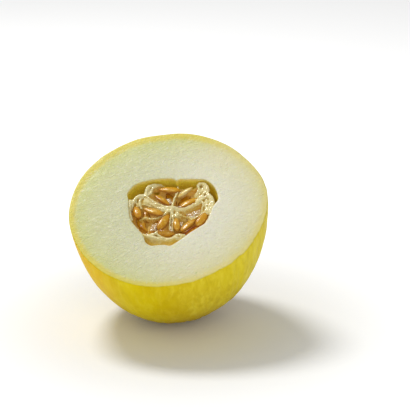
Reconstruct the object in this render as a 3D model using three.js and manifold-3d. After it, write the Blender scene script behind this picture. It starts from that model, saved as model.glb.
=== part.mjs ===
// Half of a yellow winter melon, cut straight across its long axis. It lies tilted on its rind, with the
// cut face up and towards -Y. The rind and the flesh grew as one piece and are one solid with an open
// seed cavity. The soft pulp in the cavity is a second solid, and each seed bedded in it is a solid of
// its own. Millimetres, +Z up. The origin is the middle of the small flat spot that the half rests on.
import * as THREE from "three";
import { mergeVertices } from "three/addons/utils/BufferGeometryUtils.js";
import Module from "manifold-3d";

const wasm = await Module();
wasm.setup();

// ---- Driving dimensions. "Turn" is an angle round the fruit's axis, 0 along +X and 90 up the face. ----
const FRUIT_RADIUS = 67.5; // at the cut, the widest place
const HALF_LENGTH = 92; // from the cut face to the blossom end
const BLUNTNESS = 2.16; // exponent of the outer profile: 2 is an ellipse, more is a blunter end
const TILT = 31.5; // of the cut face from level, in degrees
const RESTING_SPOT_DEPTH = 0.8; // how far the rind is pressed flat where the half lies on it
const SCAR_RADIUS = 5; // of the corky blossom scar at the end
const SCAR_DEPTH = 1.2;

const CAVITY_RADIUS = 29.8; // mean radius of the seed cavity at the cut
const CAVITY_LOBE = 3.4; // how far its three corners stand out from the mean
const CAVITY_DEPTH = 60;
const CAVITY_BLUNTNESS = 2.3;
const CAVITY_CENTRE = new THREE.Vector2(2, -0.9); // off the fruit's axis
const CAVITY_CORNER_TURN = 30; // the first of its three corners

const PULP_CLEARANCE = 0.6; // between the pulp and the cavity where the two all but touch
const PULP_END_GAP = 3; // from the pulp's tip to the cavity's end
const PULP_GAPS = [
  { turn: 148, width: 30, size: 8.4 }, // the pulp has shrunk away from the cavity here, by size
  { turn: 272, width: 20, size: 5 },
  { turn: 45, width: 45, size: 2.4 },
];
const PULP_RECESS = 2.6; // from the cut face down to the tops of the pulp's walls
const CHAMBER_DEPTH = 6.4; // of the seed chambers, below the tops of the walls
const PULP_SKIN = 2.4; // thickness of the pulp's outer wall
const SEPTUM_THICKNESS = 1.5;
const SEPTUM_TURNS = [18, 88, 156, 214, 277, 326];
const CORE_RADIUS = 3.2;
const CORE_OFFSET = new THREE.Vector2(2, 0.6); // of the star where the walls meet, from the cavity's centre

const SEED_LENGTH = 14;
const SEED_WIDTH = 5.6;
const SEED_THICKNESS = 2.6;
const SEED_CLEARANCE = 0.35; // kept round each seed by the pulp, the flesh and the other seeds
const SEED_POINT = 0.34; // how much narrower the pointed half is than the round half
const BED_LENGTH = 7; // of the pad of pulp that each seed lies on
const BED_WIDTH = 2.6;

// Each seed: its middle as a turn and a share of the cavity's mean radius, from the cavity's centre; its depth
// below the cut face; the heading of its pointed end; how far that end dips; its roll about its own length,
// 0 lying flat; and its size as a share of a full-grown seed.
const SEEDS = [
  { turn: 101, share: 0.65, depth: 4.4, heading: 178, dip: 2, roll: 12, size: 1 },
  { turn: 67, share: 0.64, depth: 4.4, heading: 42, dip: -8, roll: -24, size: 0.8 },
  { turn: 126, share: 0.43, depth: 5.2, heading: 142, dip: 0, roll: 34, size: 0.92 },
  { turn: 38, share: 0.5, depth: 5, heading: 36, dip: 0, roll: -14, size: 1 },
  { turn: 187, share: 0.39, depth: 3.8, heading: 161, dip: 2, roll: 10, size: 1 },
  { turn: 252, share: 0.36, depth: 4, heading: 72, dip: 4, roll: 12, size: 1 },
  { turn: 234, share: 0.55, depth: 7.4, heading: 80, dip: 4, roll: -24, size: 0.9 },
  { turn: 297, share: 0.42, depth: 4.4, heading: 106, dip: 4, roll: 0, size: 0.82 },
  { turn: 320, share: 0.6, depth: 4.2, heading: 56, dip: 4, roll: -12, size: 0.94 },
  { turn: 345, share: 0.77, depth: 4, heading: 70, dip: 4, roll: 8, size: 0.92 },
  { turn: 187, share: 0.76, depth: 4, heading: 112, dip: 4, roll: 4, size: 0.8 },
  { turn: 206, share: 0.72, depth: 7.2, heading: 120, dip: 0, roll: -10, size: 0.82 },
  { turn: 224, share: 0.76, depth: 4.2, heading: 128, dip: 4, roll: 62, size: 0.74 },
  { turn: 268, share: 0.66, depth: 4.4, heading: 6, dip: 0, roll: 58, size: 0.84 },
  { turn: 99, share: 0.46, depth: 8.4, heading: 124, dip: 0, roll: 0, size: 0.9 },
  { turn: 62, share: 0.51, depth: 9.2, heading: 62, dip: 0, roll: 6, size: 0.86 },
  { turn: 342, share: 0.47, depth: 7, heading: 116, dip: 0, roll: 10, size: 0.68 },
  { turn: 13, share: 0.45, depth: 9, heading: 12, dip: 0, roll: 0, size: 0.66 },
  { turn: 190, share: 0.56, depth: 7.8, heading: 114, dip: 0, roll: 0, size: 0.78 },
  { turn: 317, share: 0.755, depth: 5.6, heading: 48, dip: 0, roll: 80, size: 0.9 },
  { turn: 295, share: 0.64, depth: 8, heading: 24, dip: 0, roll: -8, size: 0.8 },
];

// ---- From a shape to a solid and back. ----
const radians = THREE.MathUtils.degToRad;

// A three.js geometry as a closed solid, with shared corners merged and slivers of no area left out.
function solidOf(geometry) {
  const bare = new THREE.BufferGeometry();
  bare.setAttribute("position", geometry.getAttribute("position").clone());
  bare.setIndex(geometry.index);
  const merged = mergeVertices(bare, 1e-4);
  const corners = merged.index.array;
  const kept = [];
  for (let i = 0; i < corners.length; i += 3) {
    const [a, b, c] = [corners[i], corners[i + 1], corners[i + 2]];
    if (a !== b && b !== c && c !== a) kept.push(a, b, c);
  }
  const vertProperties = merged.getAttribute("position").array;
  return new wasm.Manifold(new wasm.Mesh({ numProp: 3, vertProperties, triVerts: new Uint32Array(kept) }));
}

function meshOf(name, solid, material) {
  const made = solid.getMesh();
  const geometry = new THREE.BufferGeometry();
  geometry.setAttribute("position", new THREE.BufferAttribute(new Float32Array(made.vertProperties), 3));
  geometry.setIndex(new THREE.BufferAttribute(made.triVerts, 1));
  geometry.computeVertexNormals();
  const mesh = new THREE.Mesh(geometry, material);
  mesh.name = name;
  return mesh;
}

// A quarter of a superellipse, from the axis at -depth up to the given radius at height 0.
function roundEnd(radius, depth, bluntness, steps) {
  const points = [new THREE.Vector2(0, -depth)];
  for (let i = 1; i <= steps; i++) {
    const angle = (i / steps) * (Math.PI / 2);
    points.push(
      new THREE.Vector2(
        radius * Math.sin(angle) ** (2 / bluntness),
        -depth * Math.max(Math.cos(angle), 0) ** (2 / bluntness),
      ),
    );
  }
  points[steps].y = 0;
  return points;
}

// A profile turned round the Z axis.
function turned(profile, steps) {
  return new THREE.LatheGeometry(profile, steps).rotateX(Math.PI / 2);
}

// A turned shape of radius 1 whose every point is moved out to radiusAt(turn in degrees), round a centre.
function lobed(profile, radiusAt, centre, steps) {
  const geometry = turned(profile, steps);
  const at = geometry.getAttribute("position");
  for (let i = 0; i < at.count; i++) {
    const share = Math.hypot(at.getX(i), at.getY(i));
    const angle = Math.atan2(at.getY(i), at.getX(i));
    const radius = share * radiusAt(THREE.MathUtils.radToDeg(angle));
    at.setXY(i, centre.x + radius * Math.cos(angle), centre.y + radius * Math.sin(angle));
  }
  return geometry;
}

// ---- Outlines in the plane of the cut. ----
const cavityRadius = (turn) => CAVITY_RADIUS + CAVITY_LOBE * Math.cos(radians(3 * (turn - CAVITY_CORNER_TURN)));

function pulpGap(turn) {
  const openings = PULP_GAPS.map(({ turn: middle, width, size }) => {
    const away = THREE.MathUtils.euclideanModulo(turn - middle + 180, 360) - 180;
    return size * Math.exp(-((away / width) ** 2));
  });
  return PULP_CLEARANCE + openings.reduce((sum, gap) => sum + gap, 0);
}

const pulpRadius = (turn) => cavityRadius(turn) - pulpGap(turn);

// ---- Materials. ----
const rind = new THREE.MeshStandardMaterial({ color: 0xd8bf14, roughness: 0.42, metalness: 0 });
const pulp = new THREE.MeshStandardMaterial({ color: 0xe6dcab, roughness: 0.3, metalness: 0 });
const seedCoat = new THREE.MeshStandardMaterial({ color: 0xd9a24a, roughness: 0.28, metalness: 0 });

// ---- Rind and flesh. ----
const TURN_STEPS = 72;
const OVERSHOOT = 2; // how far a cutting shape runs past the face that it cuts

function cavitySolid() {
  const profile = roundEnd(1, CAVITY_DEPTH, CAVITY_BLUNTNESS, 14);
  profile.push(new THREE.Vector2(1, OVERSHOOT), new THREE.Vector2(0, OVERSHOOT));
  return solidOf(lobed(profile, cavityRadius, CAVITY_CENTRE, TURN_STEPS));
}

// The lowest point of the tilted fruit, from the superellipse's support function.
function lowestPoint() {
  const power = BLUNTNESS / (BLUNTNESS - 1);
  const across = FRUIT_RADIUS * Math.sin(radians(TILT));
  const along = HALF_LENGTH * Math.cos(radians(TILT));
  const reach = (across ** power + along ** power) ** (1 / power);
  const radius = FRUIT_RADIUS * (across / reach) ** (power - 1);
  const depth = HALF_LENGTH * (along / reach) ** (power - 1);
  return { point: new THREE.Vector3(0, -radius, -depth), reach };
}

function rindAndFlesh() {
  const profile = roundEnd(FRUIT_RADIUS, HALF_LENGTH, BLUNTNESS, 26);
  profile.push(new THREE.Vector2(0, 0));
  const fruit = solidOf(turned(profile, TURN_STEPS));
  const scar = new THREE.CylinderGeometry(SCAR_RADIUS, SCAR_RADIUS * 0.8, 2 * SCAR_DEPTH, 24);
  scar.rotateX(-Math.PI / 2).translate(0, 0, -HALF_LENGTH);
  const { reach } = lowestPoint();
  const ground = new THREE.BoxGeometry(4 * FRUIT_RADIUS, 4 * FRUIT_RADIUS, 2 * OVERSHOOT + 2 * RESTING_SPOT_DEPTH);
  ground.translate(0, 0, -reach - OVERSHOOT).rotateX(radians(-TILT));
  return fruit.subtract(cavitySolid()).subtract(solidOf(scar)).subtract(solidOf(ground));
}

// ---- Seeds. ----
// A closed seed, flat, with its long axis along X and its pointed end at +X.
function seedSolid({ turn, share, depth, heading, dip, roll, size }, margin) {
  const geometry = new THREE.SphereGeometry(0.5, 12, 8);
  const at = geometry.getAttribute("position");
  for (let i = 0; i < at.count; i++) {
    const along = at.getX(i);
    const narrowing = 1 - SEED_POINT * Math.max(along, -0.1);
    at.setXYZ(
      i,
      along * (SEED_LENGTH * size + 2 * margin),
      at.getY(i) * (SEED_WIDTH * size + 2 * margin) * narrowing,
      at.getZ(i) * (SEED_THICKNESS + 2 * margin) * narrowing,
    );
  }
  const place = new THREE.Object3D();
  const out = share * CAVITY_RADIUS;
  place.position.set(
    CAVITY_CENTRE.x + out * Math.cos(radians(turn)),
    CAVITY_CENTRE.y + out * Math.sin(radians(turn)),
    -depth,
  );
  place.rotation.set(radians(roll), radians(dip), radians(heading), "ZYX");
  place.updateMatrix();
  return solidOf(geometry.applyMatrix4(place.matrix));
}

// The pad of pulp under a seed, from the seed's middle down through the chamber's floor.
function seedBed({ turn, share, depth, heading }) {
  const floor = PULP_RECESS + CHAMBER_DEPTH;
  const height = Math.max(floor - depth, 0) + OVERSHOOT;
  const pad = new THREE.CylinderGeometry(0.5, 0.5, height, 16).rotateX(Math.PI / 2);
  pad.scale(BED_LENGTH, BED_WIDTH, 1).rotateZ(radians(heading));
  const out = share * CAVITY_RADIUS;
  const [x, y] = [out * Math.cos(radians(turn)), out * Math.sin(radians(turn))];
  return solidOf(pad.translate(CAVITY_CENTRE.x + x, CAVITY_CENTRE.y + y, -depth - height / 2));
}

// A seed gives way to the seeds before it and to the cavity's wall, so none presses into another.
function seedSolids(cavity) {
  const swollen = SEEDS.map((seed) => seedSolid(seed, SEED_CLEARANCE));
  return SEEDS.map((seed, i) =>
    swollen.slice(0, i).reduce((left, other) => left.subtract(other), seedSolid(seed, 0).intersect(cavity)),
  );
}

// ---- Pulp: a lobed mass with an outer wall, a core and septa that part its top into seed chambers. ----
function pulpMass(top, radiusAt) {
  const depth = CAVITY_DEPTH - PULP_END_GAP;
  const profile = roundEnd(1, depth, CAVITY_BLUNTNESS, 12).filter(({ y }) => y < -top - 1);
  const share = (1 - (top / depth) ** CAVITY_BLUNTNESS) ** (1 / CAVITY_BLUNTNESS);
  profile.push(new THREE.Vector2(share, -top), new THREE.Vector2(0, -top));
  return solidOf(lobed(profile, radiusAt, CAVITY_CENTRE, TURN_STEPS));
}

function pulpSolid() {
  const whole = pulpMass(PULP_RECESS, pulpRadius);
  const chamberFloor = PULP_RECESS + CHAMBER_DEPTH;
  const room = new THREE.CylinderGeometry(1, 1, 2 * CHAMBER_DEPTH, TURN_STEPS).rotateX(Math.PI / 2);
  room.translate(0, 0, -chamberFloor + CHAMBER_DEPTH);
  const at = room.getAttribute("position");
  for (let i = 0; i < at.count; i++) {
    const angle = Math.atan2(at.getY(i), at.getX(i));
    const share = Math.hypot(at.getX(i), at.getY(i));
    const radius = share * (pulpRadius(THREE.MathUtils.radToDeg(angle)) - PULP_SKIN);
    at.setXY(i, CAVITY_CENTRE.x + radius * Math.cos(angle), CAVITY_CENTRE.y + radius * Math.sin(angle));
  }
  let chambers = solidOf(room);
  const core = CAVITY_CENTRE.clone().add(CORE_OFFSET);
  const column = new THREE.CylinderGeometry(CORE_RADIUS, CORE_RADIUS, 4 * CHAMBER_DEPTH, 20).rotateX(Math.PI / 2);
  chambers = chambers.subtract(solidOf(column.translate(core.x, core.y, -chamberFloor)));
  for (const turn of SEPTUM_TURNS) {
    const septum = new THREE.BoxGeometry(2 * CAVITY_RADIUS, SEPTUM_THICKNESS, 4 * CHAMBER_DEPTH);
    septum.translate(CAVITY_RADIUS, 0, -chamberFloor).rotateZ(radians(turn)).translate(core.x, core.y, 0);
    chambers = chambers.subtract(solidOf(septum));
  }
  for (const seed of SEEDS) chambers = chambers.subtract(seedBed(seed));
  return whole.subtract(chambers);
}

// ---- The half, tilted about its resting spot. ----
const half = new THREE.Group();
half.add(meshOf("rind_and_flesh", rindAndFlesh(), rind));

const bedded = SEEDS.reduce((left, seed) => left.subtract(seedSolid(seed, SEED_CLEARANCE)), pulpSolid());
half.add(meshOf("seed_pulp", bedded, pulp));

seedSolids(pulpMass(0, (turn) => cavityRadius(turn) - SEED_CLEARANCE)).forEach((seed, i) => {
  half.add(meshOf(`seed_${String(i + 1).padStart(2, "0")}`, seed, seedCoat));
});

half.rotation.x = radians(TILT);
const foot = lowestPoint().point.applyEuler(half.rotation);
half.position.set(-foot.x, -foot.y, -foot.z - RESTING_SPOT_DEPTH);

const melon = new THREE.Group();
melon.add(half);

export default melon;
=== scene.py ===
"""The looks of half a yellow winter melon: its rind, moist flesh, seed cavity, soft pulp and seeds."""

import math

import bmesh
import bpy
from bpy.props import FloatProperty, FloatVectorProperty, IntProperty, PointerProperty
from mathutils import Matrix, Vector, noise


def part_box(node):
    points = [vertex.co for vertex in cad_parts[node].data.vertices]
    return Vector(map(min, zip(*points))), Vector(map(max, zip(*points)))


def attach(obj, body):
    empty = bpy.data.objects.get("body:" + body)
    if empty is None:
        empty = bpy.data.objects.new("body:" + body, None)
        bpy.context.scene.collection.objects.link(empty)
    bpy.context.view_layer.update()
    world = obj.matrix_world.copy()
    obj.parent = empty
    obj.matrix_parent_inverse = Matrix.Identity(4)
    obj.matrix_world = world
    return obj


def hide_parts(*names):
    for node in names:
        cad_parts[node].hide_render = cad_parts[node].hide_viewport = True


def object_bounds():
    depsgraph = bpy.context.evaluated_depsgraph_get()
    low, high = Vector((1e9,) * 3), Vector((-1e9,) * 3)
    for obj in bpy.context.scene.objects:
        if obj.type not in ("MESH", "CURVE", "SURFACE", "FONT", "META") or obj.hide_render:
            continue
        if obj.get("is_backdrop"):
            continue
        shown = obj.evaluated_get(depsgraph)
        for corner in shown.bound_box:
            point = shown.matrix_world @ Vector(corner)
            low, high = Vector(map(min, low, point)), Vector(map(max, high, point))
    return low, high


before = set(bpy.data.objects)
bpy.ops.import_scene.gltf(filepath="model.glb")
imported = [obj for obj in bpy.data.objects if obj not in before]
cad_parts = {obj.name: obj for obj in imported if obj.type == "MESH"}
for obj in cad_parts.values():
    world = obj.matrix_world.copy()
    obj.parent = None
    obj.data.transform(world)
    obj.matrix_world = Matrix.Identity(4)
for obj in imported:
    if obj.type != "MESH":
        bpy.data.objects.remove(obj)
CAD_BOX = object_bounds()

bl_info = {
    "name": "Half Melon",
    "version": (1, 0, 0),
    "blender": (4, 5, 0),
    "location": "View3D > Sidebar > Melon",
    "description": "Models a cut half of a yellow winter melon with its pulp and seeds",
    "category": "Object",
}

# ---- The fruit's own frame: millimetres, u to the right in the cut, v up the cut, w out of the cut. ----
TILT = math.radians(31.5)  # of the cut from level
MM = 0.001
LOW, HIGH = (Vector(corner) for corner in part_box("rind_and_flesh"))
RADIUS = (HIGH.x - LOW.x) / 2  # of the cut face, in metres
CUT_MIDDLE = Vector(((LOW.x + HIGH.x) / 2, LOW.y + RADIUS * math.cos(TILT), HIGH.z - RADIUS * math.sin(TILT)))
CUT = Matrix.Translation(CUT_MIDDLE) @ Matrix.Rotation(TILT, 4, "X") @ Matrix.Scale(MM, 4)
CAVITY_CENTRE = Vector((2.0, -0.9))
CAVITY_BLUNTNESS = 2.3  # roundness of the cavity's end; 2 is an ellipse


def smoothstep(low, high, x):
    t = min(max((x - low) / (high - low), 0.0), 1.0)
    return t * t * (3 - 2 * t)


def wobble(x, y, z, scale):
    """Smooth noise from -1 to 1 with features of the given size."""
    return noise.noise(Vector((x, y, z)) / scale)


def hump(x, width):
    """1 at the middle of a soft hump, and near 0 beyond its width."""
    return math.exp(-((x / width) ** 2))


def turn_from(turn, middle):
    """How far a turn in degrees is from another one, the short way round."""
    return (turn - middle + 180) % 360 - 180


def cavity_share(down):
    """The cavity's radius as a share of its mouth's, from 0 at the cut to 1 at its end."""
    return max(1 - down**CAVITY_BLUNTNESS, 0.0) ** (1 / CAVITY_BLUNTNESS)


class RoundTable:
    """Values at some turns in degrees, joined smoothly all the way round."""

    def __init__(self, pairs):
        self.pairs = sorted((turn % 360, value) for turn, value in pairs)

    def __call__(self, turn):
        turn %= 360
        count = len(self.pairs)
        after = next((i for i, pair in enumerate(self.pairs) if pair[0] > turn), 0)
        knots = [self.pairs[(after + k) % count] for k in (-2, -1, 0, 1)]
        span = (knots[2][0] - knots[1][0]) % 360
        t = ((turn - knots[1][0]) % 360) / span
        before_span = (knots[1][0] - knots[0][0]) % 360
        after_span = (knots[3][0] - knots[2][0]) % 360
        start = (knots[2][1] - knots[0][1]) / (span + before_span) * span
        end = (knots[3][1] - knots[1][1]) / (span + after_span) * span
        t2, t3 = t * t, t * t * t
        return (
            (2 * t3 - 3 * t2 + 1) * knots[1][1]
            + (t3 - 2 * t2 + t) * start
            + (3 * t2 - 2 * t3) * knots[2][1]
            + (t3 - t2) * end
        )


def round_outline(points, centre):
    """An outline round a centre, from points in the plane of the cut, as a radius at each turn."""
    pairs = []
    for u, v in points:
        du, dv = u - centre.x, v - centre.y
        pairs.append((math.degrees(math.atan2(dv, du)), math.hypot(du, dv)))
    return RoundTable(pairs)


# How far the rim stands out from a true circle, and the mouth of the seed cavity.
RIM = RoundTable([(10, 0.5), (40, -0.1), (75, 0.4), (105, 0.2), (137, -0.1), (165, 0.2),
                  (197, -0.4), (232, 0.2), (270, 0.4), (307, -0.6), (326, 0.2), (345, -0.5)])
MOUTH = round_outline(
    [(33.5, 8), (32.2, 14), (28.8, 20.5), (23, 25.3), (17, 25.8), (10, 25.2), (5.2, 25), (2.9, 23.7),
     (0, 25.1), (-6, 24.8), (-13, 23.6), (-20, 21.2), (-25.2, 18), (-28, 13.4), (-29.2, 9.4), (-27.4, 3.6),
     (-26.2, -3), (-25, -8), (-22.6, -14), (-18.6, -19), (-14, -24.2), (-11.6, -28), (-9.8, -32),
     (-6, -34.4), (-2, -33.9), (3, -33.2), (7, -33.6), (11, -30.2), (15, -25.8), (19, -21.2),
     (23.4, -17), (28, -12.2), (29.6, -7), (30.6, 0), (31.8, 4)],
    CAVITY_CENTRE,
)


# ---- What a user would change. ----
def paint(red, green, blue):
    """A colour as it is seen, 0 to 255, as the linear colour that a shader takes."""
    seen = (c / 255 for c in (red, green, blue))
    return tuple(c / 12.92 if c <= 0.04045 else ((c + 0.055) / 1.055) ** 2.4 for c in seen)


BLACK = (0.0, 0.0, 0.0)


def colour_property(name, description, colour):
    return FloatVectorProperty(
        name=name, description=description, subtype="COLOR", size=3, min=0, max=1, default=paint(*colour)
    )


def length_property(name, description, millimetres):
    return FloatProperty(
        name=name, description=description, unit="LENGTH", precision=5, default=millimetres * MM
    )


def angle_property(name, description, degrees):
    return FloatProperty(
        name=name, description=description, subtype="ANGLE", default=math.radians(degrees)
    )


class FruitSettings(bpy.types.PropertyGroup):
    half_length: length_property("Half length", "From the cut to the blossom end", 92)
    bluntness: FloatProperty(
        name="Bluntness", description="Roundness of the outer profile; 2 is an ellipse", default=2.16
    )
    cavity_depth: length_property("Cavity depth", "From the cut to the end of the seed cavity", 60)
    furrow_depth: length_property("Furrow depth", "Of the shallow furrows along the rind", 1.1)
    grain_height: length_property("Grain height", "Of the fine wet grain on the cut flesh", 1.44)
    rind_colour: colour_property("Rind", "Ripe yellow of the rind", (226, 204, 0))
    rind_deep_colour: colour_property("Rind, deep", "Golden patches and furrows of the rind", (214, 184, 0))
    rind_pale_colour: colour_property("Rind, pale", "Pale lengthwise streaks of the rind", (242, 224, 64))
    flesh_colour: colour_property("Flesh", "Middle of the flesh", (252, 248, 220))
    flesh_green_colour: colour_property("Flesh by the rind", "Greenish outer flesh", (226, 228, 152))
    under_rind_colour: colour_property("Under the rind", "Yellow band just inside the rind", (240, 224, 96))
    cavity_colour: colour_property("Cavity wall", "Olive yellow wall of the seed cavity", (230, 210, 66))


class PulpSettings(bpy.types.PropertyGroup):
    grain: length_property("Grain", "Size of the mesh that the soft pulp is made in", 0.46)
    crest_colour: colour_property("Crests", "Cream edges of the pulp's walls", (246, 232, 172))
    wall_colour: colour_property("Walls", "Sides of the pulp's walls", (236, 206, 108))
    deep_colour: colour_property("Hollows", "Deep wet hollows between the seeds", (230, 190, 92))


class SeedSettings(bpy.types.PropertyGroup):
    around: IntProperty(name="Faces around", description="Faces round one seed", default=28)
    seed_colour: colour_property("Seed", "Ripe seed coat", (218, 158, 18))
    seed_edge_colour: colour_property("Seed edge", "Orange brown edge of the seed coat", (140, 60, 0))
    seed_pale_colour: colour_property("Pale seed", "Unripe or empty seed coat", (244, 226, 150))


class StageSettings(bpy.types.PropertyGroup):
    distance: length_property("Camera distance", "From what it aims at to the camera", 900)
    aim_right: length_property("Aim right", "The camera's aim, right of the cut's middle", 25.47)
    aim_up: length_property("Aim up", "The camera's aim, above the cut's middle", 0.72)
    lens: FloatProperty(
        name="Lens", description="Focal length in millimetres", subtype="DISTANCE_CAMERA", default=117.05
    )
    turn: angle_property("Camera turn", "Round the half, from the front", 8.8)
    height: angle_property("Camera height", "Above level", 18)
    floor_colour: colour_property("Floor", "Plain pale floor", (252, 252, 251))


# ---- Shader arithmetic. ----
class Value:
    """A shader socket that takes part in sums, so that a pattern reads as plain arithmetic."""

    def __init__(self, finish, socket):
        self.finish, self.socket = finish, socket

    def _math(self, operation, first, second):
        node = self.finish.node("ShaderNodeMath", {"operation": operation}, {0: first, 1: second})
        return Value(self.finish, node.outputs[0])

    def __add__(self, other):
        return self._math("ADD", self, other)

    __radd__ = __add__

    def __sub__(self, other):
        return self._math("SUBTRACT", self, other)

    def __rsub__(self, other):
        return self._math("SUBTRACT", other, self)

    def __mul__(self, other):
        return self._math("MULTIPLY", self, other)

    __rmul__ = __mul__

    def clamp(self):
        return self._math("MINIMUM", self._math("MAXIMUM", self, 0.0), 1.0)

    def between(self, low, high):
        """0 at low and 1 at high, smoothly, and flat outside."""
        node = self.finish.node(
            "ShaderNodeMapRange",
            {"interpolation_type": "SMOOTHSTEP"},
            {"Value": self, "From Min": low, "From Max": high},
        )
        return Value(self.finish, node.outputs["Result"])


class Finish:
    """One procedural material. node() adds any node."""

    def __init__(self, name, **constants):
        self.material = bpy.data.materials.new(name)
        self.material.use_nodes = True
        self.tree = self.material.node_tree
        self.shader = self.tree.nodes["Principled BSDF"]
        for socket, value in constants.items():
            self.shader.inputs[socket.replace("_", " ")].default_value = value

    def join(self, socket, value):
        if isinstance(value, Value):
            value = value.socket
        if isinstance(value, bpy.types.NodeSocket):
            self.tree.links.new(value, socket)
        elif socket.type == "RGBA" and len(value) == 3:
            socket.default_value = (*value, 1.0)
        else:
            socket.default_value = value

    def node(self, kind, settings=None, sockets=None):
        node = self.tree.nodes.new(kind)
        for name, value in (settings or {}).items():
            setattr(node, name, value)
        for name, value in (sockets or {}).items():
            socket = node.inputs[name] if isinstance(name, int) else next(
                s for s in node.inputs if name in (s.name, s.identifier)
            )
            self.join(socket, value)
        return node

    def mix(self, amount, start, end):
        """The colour from start to end as amount goes from 0 to 1."""
        node = self.node(
            "ShaderNodeMix",
            {"data_type": "RGBA"},
            {"Factor_Float": amount, "A_Color": start, "B_Color": end},
        )
        return next(s for s in node.outputs if s.identifier == "Result_Color")

    def washes(self, colour, *washes):
        """A colour with washes laid over it in order, each as how much of it takes and its colour."""
        for amount, wash in washes:
            colour = self.mix(amount, colour, wash)
        return colour

    def place(self):
        """Where a point is, in metres in the row's frame."""
        return self.node("ShaderNodeTexCoord").outputs["Object"]

    def attribute(self, name, output="Fac"):
        socket = self.node("ShaderNodeAttribute", {"attribute_name": name}).outputs[output]
        return Value(self, socket) if output == "Fac" else socket

    def cloud(self, where, scale, detail=3.0, roughness=0.55, distortion=0.0):
        """Noise from 0 to 1."""
        node = self.node(
            "ShaderNodeTexNoise",
            {"noise_dimensions": "3D"},
            {
                "Vector": where, "Scale": scale, "Detail": detail,
                "Roughness": roughness, "Distortion": distortion,
            },
        )
        return Value(self, node.outputs["Fac"])

    def stretch(self, where, scale):
        node = self.node("ShaderNodeVectorMath", {"operation": "MULTIPLY"}, {0: where, 1: scale})
        return node.outputs["Vector"]

    def along(self, vector, direction):
        """How far a vector reaches in a direction."""
        node = self.node("ShaderNodeVectorMath", {"operation": "DOT_PRODUCT"}, {0: vector, 1: direction})
        return Value(self, node.outputs["Value"])

    def away(self, where, middle):
        """The distance from a point, in metres."""
        node = self.node("ShaderNodeVectorMath", {"operation": "DISTANCE"}, {0: where, 1: middle})
        return Value(self, node.outputs["Value"])

    def bump(self, height, distance, strength):
        sockets = {"Height": height, "Distance": distance, "Strength": strength}
        return self.node("ShaderNodeBump", None, sockets).outputs["Normal"]

    def set(self, **values):
        for name, value in values.items():
            self.join(self.shader.inputs[name.replace("_", " ")], value)


# ---- Meshes. ----
def start_fresh():
    """Leaves edit mode with nothing selected, so that an operator acts only on what comes next."""
    if bpy.context.object and bpy.context.object.mode != "OBJECT":
        bpy.ops.object.mode_set(mode="OBJECT")
    bpy.ops.object.select_all(action="DESELECT")


def select_only(piece):
    start_fresh()
    piece.select_set(True)
    bpy.context.view_layer.objects.active = piece


def add_grid(columns, rows, size=1):
    start_fresh()
    bpy.ops.mesh.primitive_grid_add(
        x_subdivisions=columns, y_subdivisions=rows, size=size, location=(0, 0, 0)
    )
    return bpy.context.object


def add_ball(segments, rings, rotation=(0, 0, 0)):
    start_fresh()
    bpy.ops.mesh.primitive_uv_sphere_add(
        segments=segments, ring_count=rings, radius=1, location=(0, 0, 0), rotation=rotation
    )
    return bpy.context.object


def apply_modifier(piece, kind, **settings):
    select_only(piece)
    modifier = piece.modifiers.new(kind.title(), kind)
    for name, value in settings.items():
        setattr(modifier, name, value)
    bpy.ops.object.modifier_apply(modifier=modifier.name)


def close_and_face_out(piece, gap=1e-4):
    """Merges what lies closer than the gap, and turns the faces outwards."""
    select_only(piece)
    bpy.ops.object.mode_set(mode="EDIT")
    bpy.ops.mesh.select_all(action="SELECT")
    bpy.ops.mesh.remove_doubles(threshold=gap)
    bpy.ops.mesh.normals_make_consistent(inside=False)
    bpy.ops.object.mode_set(mode="OBJECT")


def write_attribute(piece, name, values, kind="FLOAT"):
    attribute = piece.data.attributes.new(name, kind, "POINT")
    field = "value" if kind == "FLOAT" else "vector"
    flat = values if kind == "FLOAT" else [c for value in values for c in value]
    attribute.data.foreach_set(field, flat)


def into_the_row(piece):
    """Moves a piece from the fruit's own frame to the row's frame, with its place in its mesh."""
    piece.data.transform(CUT)
    piece.data.update()


def keep_piece(piece, name, slot, *nodes):
    piece.name = name
    piece.data.name = name
    for face in piece.data.polygons:
        face.use_smooth = True
    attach(piece, "root")
    if nodes:
        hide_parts(*nodes)
    start_fresh()


CURVE_STEPS = 12  # on a smooth curve, between each two of its points


def smooth_line(points, count):
    """Points spread evenly along a smooth curve through the given points."""
    points = [Vector(p) for p in points]
    padded = [2 * points[0] - points[1], *points, 2 * points[-1] - points[-2]]
    dense = []
    for a, b, c, d in zip(padded, padded[1:], padded[2:], padded[3:]):
        square, cube = 2 * a - 5 * b + 4 * c - d, 3 * b - a - 3 * c + d
        for k in range(CURVE_STEPS):
            t = k / CURVE_STEPS
            dense.append(0.5 * (2 * b + (c - a) * t + square * t**2 + cube * t**3))
    dense.append(points[-1])
    reach = [0.0]
    for a, b in zip(dense, dense[1:]):
        reach.append(reach[-1] + (b - a).length)
    line, i = [], 0
    for k in range(count):
        along = reach[-1] * k / (count - 1)
        while i < len(dense) - 2 and reach[i + 1] < along:
            i += 1
        span = max(reach[i + 1] - reach[i], 1e-9)
        line.append(dense[i].lerp(dense[i + 1], min((along - reach[i]) / span, 1.0)))
    return line


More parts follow.
